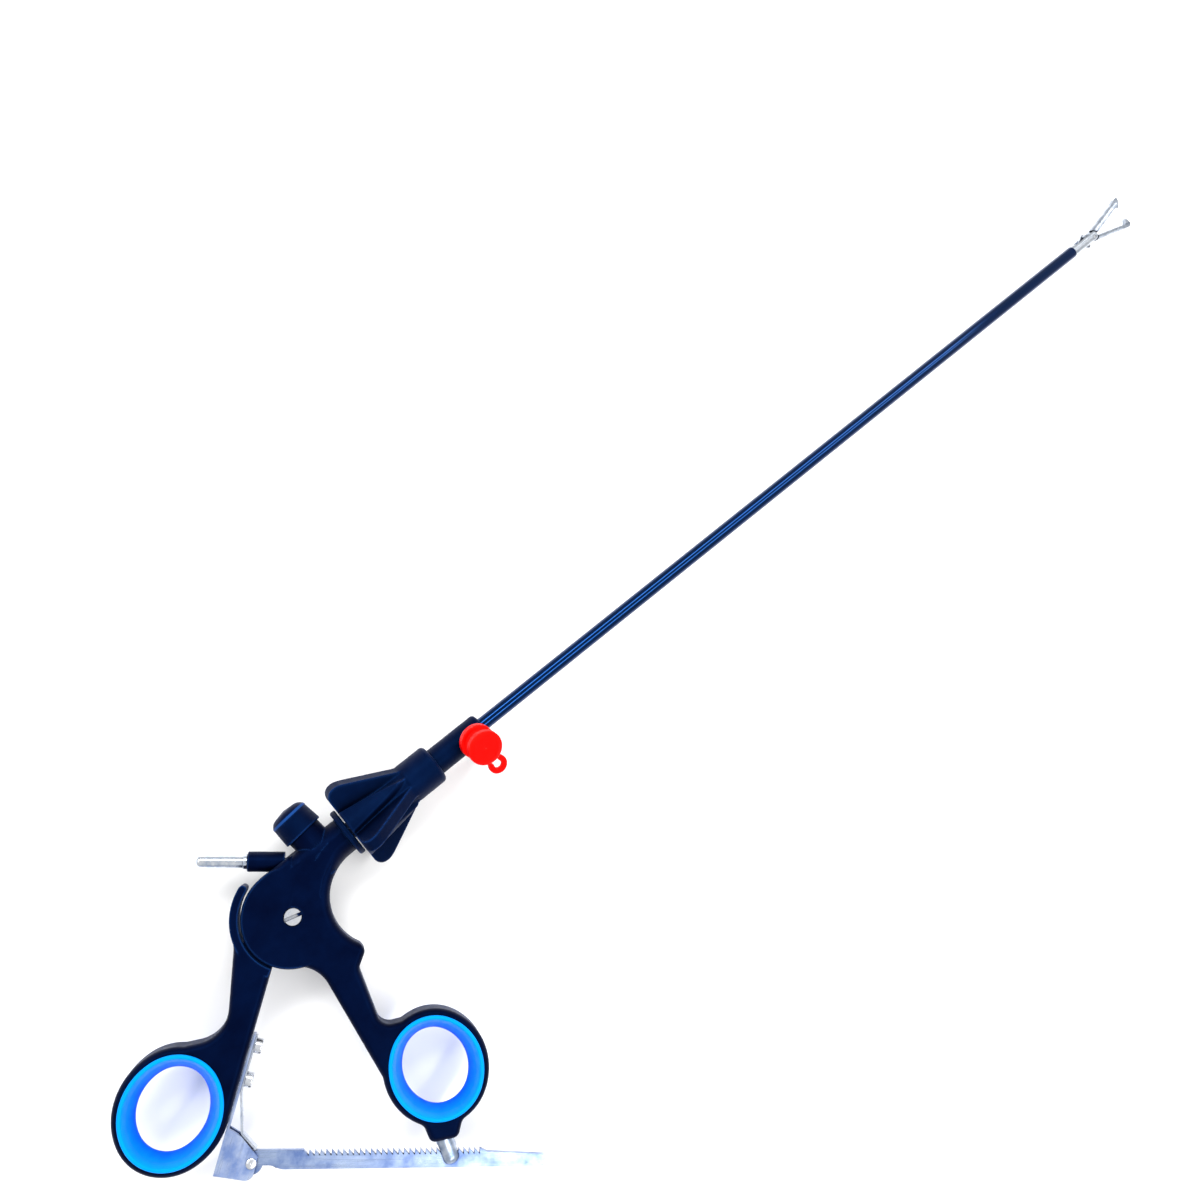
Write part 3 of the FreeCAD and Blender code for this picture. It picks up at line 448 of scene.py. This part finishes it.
# %% Turn the screw
screw_turn = -37.0
pivot = Vector((-85.0, -10.0, 0.0)) * MM
screw_piece = solid_copy("pivot_screw_tight", "main_pivot_screw")
turned = Matrix.Rotation(math.radians(screw_turn), 4, "Z")
screw_piece.data.transform(Matrix.Translation(pivot) @ turned @ Matrix.Translation(-pivot))
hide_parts("main_pivot_screw")
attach(screw_piece, "grip")
print("screw turned by", screw_turn, "degrees")

# %% [markdown]
# ## The rivet of the ratchet bar
# On the instrument only a small dome shows on the cheek, not a wide head, so the rivet is made again as a
# turned form: a shank with a low dome on each side that is hardly wider than the shank.

# %% Rivet
rivet_at, shank_r, shank_end = (-138.3, -60.7), 1.5, 2.09
dome_r, dome_foot, dome_rise = 1.62, 2.11, 0.38
dome = np.linspace(0, math.pi / 2, 9)
dome_side = np.stack([dome_r * np.sin(dome) + 0.01, dome_foot + dome_rise * np.cos(dome)], axis=1)
shank = [[shank_r, -shank_end], [shank_r, shank_end]]
rivet_profile = np.concatenate([dome_side * [1, -1], shank, dome_side[::-1]])
rivet_piece = skin("ratchet_rivet_domed", [turned_form(rivet_at, rivet_profile, 64)])
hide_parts("ratchet_rivet")
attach(rivet_piece, "lever")

# %% [markdown]
# ## Building blocks for the finishes
# A finish is more than a colour: moulded plastic has a fine spark-eroded grain, and ground steel has
# streaks; edge highlights and corner shade are painted in as well. Pictures wrapped round the pieces could
# show this. Here each finish is worked out from the place on the piece in metres, so its detail keeps its
# real size.


# %% Small helpers for node trees
class Finish:
    """A material with its shader and helpers that add one node each."""

    def __init__(self, name):
        self.material = bpy.data.materials.new(name)
        self.material.use_nodes = True
        self.tree = self.material.node_tree
        self.shader = next(node for node in self.tree.nodes if node.type == "BSDF_PRINCIPLED")
        self.place = self.node("ShaderNodeTexCoord").outputs["Object"]

    def node(self, kind, **settings):
        """Adds a node of a kind, with its settings."""
        made = self.tree.nodes.new(kind)
        for key, value in settings.items():
            setattr(made, key, value)
        return made

    def link(self, start, end):
        """Joins an output to an input."""
        self.tree.links.new(start, end)

    def stretched(self, scale, turn=0.0):
        """The place, turned about Z and then stretched, for streaks along one direction."""
        mapping = self.node("ShaderNodeMapping", vector_type="TEXTURE")
        mapping.inputs["Rotation"].default_value = (0, 0, math.radians(turn))
        mapping.inputs["Scale"].default_value = tuple(1 / value for value in scale)
        self.link(self.place, mapping.inputs["Vector"])
        return mapping.outputs["Vector"]

    def noise(self, scale, detail=2.0, rough=0.5, place=None):
        """Cloudy values from 0 to 1; scale is in clouds per metre."""
        made = self.node("ShaderNodeTexNoise")
        made.inputs["Scale"].default_value = scale
        made.inputs["Detail"].default_value = detail
        made.inputs["Roughness"].default_value = rough
        self.link(place or self.place, made.inputs["Vector"])
        return made.outputs["Fac"]

    def spread(self, value, low, high, new_low, new_high):
        """The value's range from low to high, moved on to a new range."""
        made = self.node("ShaderNodeMapRange")
        for key, number in (("From Min", low), ("From Max", high), ("To Min", new_low), ("To Max", new_high)):
            made.inputs[key].default_value = number
        self.link(value, made.inputs["Value"])
        return made.outputs["Result"]

    def even(self, clouds, low, high):
        """Cloudy values mostly lie between 0.3 and 0.7: that range, moved on to a new one."""
        return self.spread(clouds, 0.3, 0.7, low, high)

    def blend(self, amount, low, high):
        """A colour between two, each a colour or another node's output."""
        made = self.node("ShaderNodeMix", data_type="RGBA")
        self.link(amount, made.inputs[0])
        slots = [socket for socket in made.inputs if socket.type == "RGBA"]
        for socket, colour in zip(slots, (low, high)):
            if isinstance(colour, tuple):
                socket.default_value = (*colour, 1)
            else:
                self.link(colour, socket)
        return next(socket for socket in made.outputs if socket.type == "RGBA")

    def math(self, kind, first, second):
        """One sum of two values, each a number or another node's output."""
        made = self.node("ShaderNodeMath", operation=kind)
        for socket, value in zip(made.inputs, (first, second)):
            if isinstance(value, (int, float)):
                socket.default_value = value
            else:
                self.link(value, socket)
        return made.outputs[0]

    def edges(self, radius):
        """Near 1 on edges sharper than the radius: how far the rounded normal turns from the true one."""
        bevel = self.node("ShaderNodeBevel", samples=4)
        bevel.inputs["Radius"].default_value = radius
        normal = self.node("ShaderNodeNewGeometry").outputs["Normal"]
        dot = self.node("ShaderNodeVectorMath", operation="DOT_PRODUCT")
        self.link(bevel.outputs["Normal"], dot.inputs[0])
        self.link(normal, dot.inputs[1])
        return self.spread(dot.outputs["Value"], 0.995, 0.86, 0, 1)

    def corners(self, reach):
        """Near 1 in slots and inner corners: how much of the sky is hidden within the reach."""
        shade = self.node("ShaderNodeAmbientOcclusion", samples=6)
        shade.inputs["Distance"].default_value = reach
        return self.spread(shade.outputs["AO"], 0.45, 0.92, 0.85, 0)

    def bump(self, height, depth, strength=1.0, under=None):
        """Raises the surface by the height value times a depth in metres."""
        made = self.node("ShaderNodeBump")
        made.inputs["Strength"].default_value = strength
        made.inputs["Distance"].default_value = depth
        self.link(height, made.inputs["Height"])
        if under is not None:
            self.link(under, made.inputs["Normal"])
        return made.outputs["Normal"]

    def use(self, colour=None, rough=None, normal=None, **plain):
        """Connects what varies, and writes what is uniform on the shader's own sockets."""
        for name, value in (("Base Color", colour), ("Roughness", rough), ("Normal", normal)):
            if value is not None:
                self.link(value, self.shader.inputs[name])
        for name, value in plain.items():
            self.shader.inputs[name.replace("_", " ")].default_value = value
        return self.material


print("finish helpers ready")

# %% [markdown]
# ## Moulded handle plastic
# The handle and lever are glass-filled black plastic. Under studio light they look navy, nearly flat, with
# a cool sheen where the surface turns away and along the rounded edges. A flat black would lose the form,
# so a fine grain and faint clouding are mixed in, with a lighter painted highlight on the rounded edges and
# a near black painted shade in deep hollows.


# %% Black plastic with grain and edge sheen
# Near black painted into deep hollows as shade.
painted_hollow_shade = (0.0001, 0.0001, 0.0008)


def moulded_plastic(name, deep, light, edge, grain, rough, tint):
    """Colour from deep to light in soft clouds, then towards the edge colour on rounded edges, a painted
    highlight, and towards black in deep hollows, a painted shade. Roughness varies by a tenth, and two sizes
    of grain raise the surface by some micrometres."""
    finish = Finish(name)
    clouds = finish.spread(finish.noise(90, 4, 0.6), 0.35, 0.7, 0, 1)
    colour = finish.blend(clouds, deep, light)
    # Painted highlight: rounded edges lighten towards the edge colour.
    colour = finish.blend(finish.math("MULTIPLY", finish.edges(0.0008), 0.9), colour, edge)
    # Painted shade: deep hollows darken towards near black.
    colour = finish.blend(finish.corners(0.004), colour, painted_hollow_shade)
    worn = finish.noise(420, 5, 0.65)
    roughness = finish.spread(worn, 0.3, 0.72, rough - 0.06, rough + 0.08)
    fine = finish.bump(finish.noise(grain, 3, 0.6), 0.00003, 0.5)
    normal = finish.bump(finish.noise(grain / 6, 2, 0.5), 0.00005, 0.35, under=fine)
    return finish.use(colour, roughness, normal, Specular_IOR_Level=0.12, Specular_Tint=(*tint, 1),
                      Sheen_Weight=0.07, Sheen_Roughness=0.35, Sheen_Tint=(0.05, 0.25, 1.0, 1))


# The third colour of each plastic is the painted highlight on its rounded edges.
handle_plastic = moulded_plastic("handle_plastic", (0.0002, 0.0005, 0.0060), (0.0004, 0.0022, 0.0150),
                                 (0.0060, 0.0300, 0.1200), 2600, 0.46, (0.05, 0.22, 1.0))
knob_plastic = moulded_plastic("knob_plastic", (0.0003, 0.0018, 0.0130), (0.0007, 0.0042, 0.0240),
                               (0.0100, 0.0500, 0.2100), 1700, 0.50, (0.06, 0.28, 1.0))
print("plastics made")

# %% [markdown]
# ## Glossy shaft insulation
# The shaft carries a shrunk-on insulating sleeve, smooth and glossy, whose long highlights show its
# length. It could be a mirror-like black. Shrinking leaves faint waves and lengthwise drawing marks, so
# the roughness is streaked along the shaft and the surface waves by a few micrometres.

# %% Insulation
insulation = Finish("shaft_insulation")
drawn = insulation.noise(1.0, 3, 0.55, insulation.stretched((25, 1500, 1500)))
waves = insulation.noise(1.0, 2, 0.5, insulation.stretched((70, 220, 220)))
gloss = insulation.even(drawn, 0.03, 0.07)
deep_blue = insulation.blend(insulation.spread(waves, 0.35, 0.65, 0, 1), (0.0001, 0.0004, 0.0045),
                             (0.0003, 0.0012, 0.0110))
shaft_gloss = insulation.use(deep_blue, gloss, insulation.bump(waves, 0.00002, 0.3),
                             Specular_IOR_Level=1.0, Specular_Tint=(0.05, 0.28, 1.0, 1))
print("insulation made")

# %% [markdown]
# ## Soft blue liners
# The liners are an elastomer: satin and bright azure. The lip is painted lighter and the funnel a deeper
# blue, a painted shade for the light that bounces less down the funnel. The depth is real, and the
# painted shade follows it a little further. The height decides the mix.

# %% Azure elastomer
liner = Finish("azure_liner")
height = liner.node("ShaderNodeSeparateXYZ")
liner.link(liner.place, height.inputs[0])
rise = liner.math("ABSOLUTE", height.outputs["Z"], 0.0)
# Painted shade: the colour deepens from the lip down towards the throat.
lip = liner.spread(rise, 0.0008, 0.0054, 0, 1)
mottle = liner.even(liner.noise(260, 4, 0.6), -0.10, 0.10)
lip = liner.math("ADD", lip, mottle)
azure = liner.blend(lip, (0.0, 0.085, 0.80), (0.0, 0.27, 0.88))
dust = liner.spread(liner.noise(1900, 3, 0.6), 0.66, 0.80, 0, 0.16)
azure = liner.blend(dust, azure, (0.01, 0.14, 0.55))
silk = liner.even(liner.noise(500, 4, 0.6), 0.36, 0.50)
liner_finish = liner.use(azure, silk, liner.bump(liner.noise(2200, 2, 0.5), 0.00002, 0.4),
                         Specular_IOR_Level=0.2, Specular_Tint=(0.10, 0.5, 1.0, 1))
print("liner made")

# %% [markdown]
# ## Red cap
# The cap is soft silicone rubber, a pure signal red, with a paler line painted on its edges as a highlight.
# One red would do from afar. A little clouding, the painted edge highlight and a fine matt grain keep it
# real up close.

# %% Red silicone
rubber = Finish("red_silicone")
clouded = rubber.even(rubber.noise(240, 4, 0.6), 0, 1)
warm = rubber.blend(clouded, (0.78, 0.0005, 0.0003), (0.90, 0.0012, 0.0006))
# Painted highlight: edges turn a paler red.
warm = rubber.blend(rubber.math("MULTIPLY", rubber.edges(0.0005), 0.5), warm, (0.98, 0.050, 0.035))
matt = rubber.even(rubber.noise(700, 3, 0.6), 0.42, 0.56)
red_finish = rubber.use(warm, matt, rubber.bump(rubber.noise(2400, 3, 0.6), 0.00003, 0.35),
                        Specular_IOR_Level=0.35, Specular_Tint=(1.0, 0.12, 0.08, 1))
print("red rubber made")

# %% [markdown]
# ## Steels
# Every steel piece had a different last operation: the bar and bracket were ground lengthwise and show
# cloudy grey-blue patches, the screws and the pin were turned and polished, and the jaws were bead
# blasted and brushed. One metal shader serves them all, with streaks along a direction, patches of a
# chosen size, and painted shade on the edges and in the corners, which sets the bright pieces off from a
# white table.


# %% Ground and polished steel
# Dark colours painted as shade on the edges and in the corners.
painted_edge_shade, painted_corner_shade = (0.03, 0.05, 0.11), (0.02, 0.03, 0.07)


def steel(name, dark, bright, streak, turn, rough, patch, depth=0.00002, edge=0.55):
    """Patches blend the dark and bright metal, streaks along a turned direction vary the roughness and
    raise fine lines, and painted shade darkens the edges and the corners."""
    finish = Finish(name)
    patches = finish.spread(finish.noise(patch, 5, 0.6), 0.34, 0.68, 0, 1)
    lines = finish.noise(1.0, 4, 0.6, finish.stretched(streak, turn))
    colour = finish.blend(patches, dark, bright)
    colour = finish.blend(finish.even(lines, 0, 0.22), colour, dark)
    # Painted shade: edges darken by the edge amount.
    colour = finish.blend(finish.math("MULTIPLY", finish.edges(0.00022), edge), colour, painted_edge_shade)
    # Painted shade: corners darken.
    colour = finish.blend(finish.corners(0.0009), colour, painted_corner_shade)
    duller = finish.spread(patches, 0, 1, rough + 0.08, rough)
    roughness = finish.math("ADD", finish.even(lines, -0.05, 0.07), duller)
    return finish.use(colour, roughness, finish.bump(lines, depth, 0.45), Metallic=1.0)


bar_turn, bracket_turn, pin_turn = -42.7, 37.2, 49.7
bar_steel = steel("ground_bar_steel", (0.11, 0.17, 0.36), (0.39, 0.48, 0.66),
                  (60, 2600, 2600), bar_turn, 0.26, 170)
bracket_steel = steel("ground_bracket_steel", (0.17, 0.25, 0.50), (0.56, 0.65, 0.84),
                      (90, 2200, 2200), bracket_turn, 0.27, 150)
leaf_steel = steel("spring_strip_steel", (0.40, 0.46, 0.58), (0.82, 0.86, 0.92),
                   (90, 2400, 2400), bracket_turn, 0.2, 260)
turned_steel = steel("turned_steel", (0.66, 0.70, 0.78), (0.93, 0.94, 0.96),
                     (1800, 1800, 1800), 0.0, 0.16, 400)
pin_steel = steel("plug_pin_steel", (0.42, 0.50, 0.64), (0.86, 0.89, 0.93),
                  (2400, 120, 2400), pin_turn, 0.14, 300)
stud_steel = steel("cast_stud_steel", (0.20, 0.27, 0.40), (0.58, 0.64, 0.74),
                   (900, 900, 900), 0.0, 0.30, 420, depth=0.00005)
jaw_metal = steel("jaw_steel", (0.26, 0.30, 0.37), (0.62, 0.67, 0.74),
                  (160, 3000, 3000), 0.0, 0.30, 600, edge=0.35)
yoke_metal = steel("yoke_steel", (0.40, 0.44, 0.50), (0.72, 0.76, 0.81),
                   (120, 2600, 2600), 0.0, 0.24, 380)
inner_steel = steel("inner_steel", (0.50, 0.52, 0.55), (0.75, 0.77, 0.80),
                    (40, 2400, 2400), 0.0, 0.25, 200)
# The spigot is painted near black as shade, so the gap round it reads dark.
spigot_painted_dark = steel("spigot_painted_shade_steel", (0.02, 0.03, 0.06), (0.06, 0.08, 0.12),
                     (40, 2400, 2400), 0.0, 0.35, 200)
spring_wire = steel("spring_wire", (0.35, 0.36, 0.38), (0.70, 0.71, 0.73),
                    (2000, 2000, 2000), 0.0, 0.28, 500)
brass = steel("contact_brass", (0.55, 0.36, 0.13), (0.83, 0.62, 0.28),
              (2000, 2000, 2000), 0.0, 0.25, 400)
print("steels made")

# %% [markdown]
# ## Seal rubber
# The seal is hidden inside the hub and only shows in a cut view, but every piece has a finish of its own:
# dull black rubber with a fine matt grain.

# %% Seal
seal = Finish("seal_rubber")
soot = seal.blend(seal.noise(600, 4, 0.6), (0.012, 0.012, 0.014), (0.026, 0.026, 0.030))
seal_finish = seal.use(soot, seal.even(seal.noise(900, 3, 0.6), 0.6, 0.75),
                       seal.bump(seal.noise(3000, 2, 0.5), 0.00002, 0.4), IOR=1.5)
print("seal made")

# %% [markdown]
# ## Each piece gets its finish
# The solids come as loose triangles that already point the right way, so only their material changes.

# %% Finish by piece
finish_of = {
    "neck_flange": knob_plastic, "hf_sleeve": handle_plastic,
    "thumb_lever": handle_plastic, "release_button": knob_plastic, "sheath_hub": knob_plastic,
    "insulation_sleeve": shaft_gloss, "rod_seal": seal_finish, "hf_contact": brass,
    "main_pivot_sleeve": turned_steel, "bracket_screws": turned_steel,
    "luer_port": turned_steel, "hf_pin": pin_steel, "catch_pin": stud_steel,
    "ratchet_bar": bar_steel, "ratchet_bracket": bracket_steel, "leaf_spring": leaf_steel,
    "button_spring": spring_wire, "drive_pin": inner_steel, "latch_plate": inner_steel,
    "drive_shuttle": inner_steel, "coupling_spigot": spigot_painted_dark, "shaft_tube": inner_steel,
    "pull_rod": inner_steel, "jaw_yoke": yoke_metal, "jaw_pivot_pin": turned_steel,
    "rod_link_pin": turned_steel, "tail_pin_upper": turned_steel, "tail_pin_lower": turned_steel,
    "jaw_upper": jaw_metal, "jaw_lower": jaw_metal, "link_upper": jaw_metal, "link_lower": jaw_metal,
}
for name, material in finish_of.items():
    nodes[name].data.materials.clear()
    nodes[name].data.materials.append(material)
remade = {
    "handle_body": (grip_piece, handle_plastic), "main_pivot_screw": (screw_piece, turned_steel),
    "ratchet_rivet": (rivet_piece, turned_steel), "rotation_knob": (knob, knob_plastic),
    "thumb_ring_insert": (thumb_liner, liner_finish), "finger_ring_insert": (finger_liner, liner_finish),
    "flush_cap": (cap, red_finish),
}
for piece, material in remade.values():
    piece.data.materials.append(material)
bare = sorted(set(nodes) - set(finish_of) - set(remade))
print("pieces with a finish:", len(finish_of) + len(remade), "left bare:", bare)

# %% [markdown]
# ## Table and light
# The instrument is photographed on white. A pale table close below catches a soft shadow, a wide softbox
# gives even light, and two long narrow strips over the shaft draw the two bright lines along it. The
# strips' opening is narrowed, so that the lines fade towards the tip. The sky is plain white, so that
# nothing coloured is mirrored in the steel.

# %% Table
table = Finish("pale_table")
cloudy = table.blend(table.noise(6, 2, 0.5), (0.90, 0.90, 0.90), (0.93, 0.93, 0.93))
table_finish = table.use(cloudy, table.even(table.noise(40, 3, 0.5), 0.7, 0.8))
floor_z, table_half = -0.0165, 3.0
floor_mesh = bpy.data.meshes.new("table_top")
floor_corners = [(x * table_half, y * table_half, floor_z) for x, y in ((-1, -1), (1, -1), (1, 1), (-1, 1))]
floor_mesh.from_pydata(floor_corners, [], [(0, 1, 2, 3)])
floor = bpy.data.objects.new("table_top", floor_mesh)
floor.data.materials.append(table_finish)
bpy.context.scene.collection.objects.link(floor)
print("table at", floor_z, "m")

# %% Light
world = bpy.data.worlds.new("white_room")
bpy.context.scene.world = world
world.use_nodes = True
sky = next(node for node in world.node_tree.nodes if node.type == "BACKGROUND")
sky.inputs["Color"].default_value = (1.0, 1.0, 1.0, 1)
sky.inputs["Strength"].default_value = 0.7
bpy.context.scene.view_settings.view_transform = "Standard"


def softbox(name, at, aim, size, power, opening=180.0):
    """A rectangular area light that looks at a point: metres, watts, and its opening in degrees."""
    lamp = bpy.data.lights.new(name, "AREA")
    lamp.shape = "RECTANGLE"
    lamp.size, lamp.size_y = size
    lamp.energy = power
    lamp.spread = math.radians(opening)
    holder = bpy.data.objects.new(name, lamp)
    holder.location = at
    holder.rotation_euler = (Vector(aim) - Vector(at)).to_track_quat("-Z", "Y").to_euler()
    bpy.context.scene.collection.objects.link(holder)
    return holder


softbox("softbox_above", (-0.45, 0.60, 1.00), (0.05, 0.0, 0.0), (1.0, 0.7), 2.0)
shaft_middle, strip_long, strip_opening = (0.12, 0.0, 0.0), 1.6, 115.0
softbox("strip_far", (0.25, 0.50, 0.88), shaft_middle, (strip_long, 0.18), 5.4, strip_opening)
softbox("strip_near", (0.25, -0.42, 0.92), shaft_middle, (strip_long, 0.15), 4.3, strip_opening)

# %% [markdown]
# ## Camera
# The view was worked out from the shaft's two ends and the round knob and rings: a little less than 0.4 m
# above the instrument, looking down and 17 degrees along the shaft. The three directions are written as
# rows, right, up and back, and a 33 mm lens on a 36 mm sensor frames the whole instrument.

# %% Camera
right = Vector((0.751086, -0.61996, 0.226982))
upward = Vector((0.593452, 0.784634, 0.179344))
back = Vector((-0.289284, 0.0, 0.957243))
spot = Vector((-53.116, 8.468, 379.232)) * MM
lens = bpy.data.cameras.new("view_camera")
lens.sensor_width = 36.0
lens.lens = 33.0
lens.clip_start = 0.01
camera = bpy.data.objects.new("view_camera", lens)
camera.matrix_world = Matrix((
    (right.x, upward.x, back.x, spot.x), (right.y, upward.y, back.y, spot.y),
    (right.z, upward.z, back.z, spot.z), (0, 0, 0, 1)))
bpy.context.scene.collection.objects.link(camera)
bpy.context.scene.camera = camera
print("camera at", tuple(round(value, 4) for value in spot))
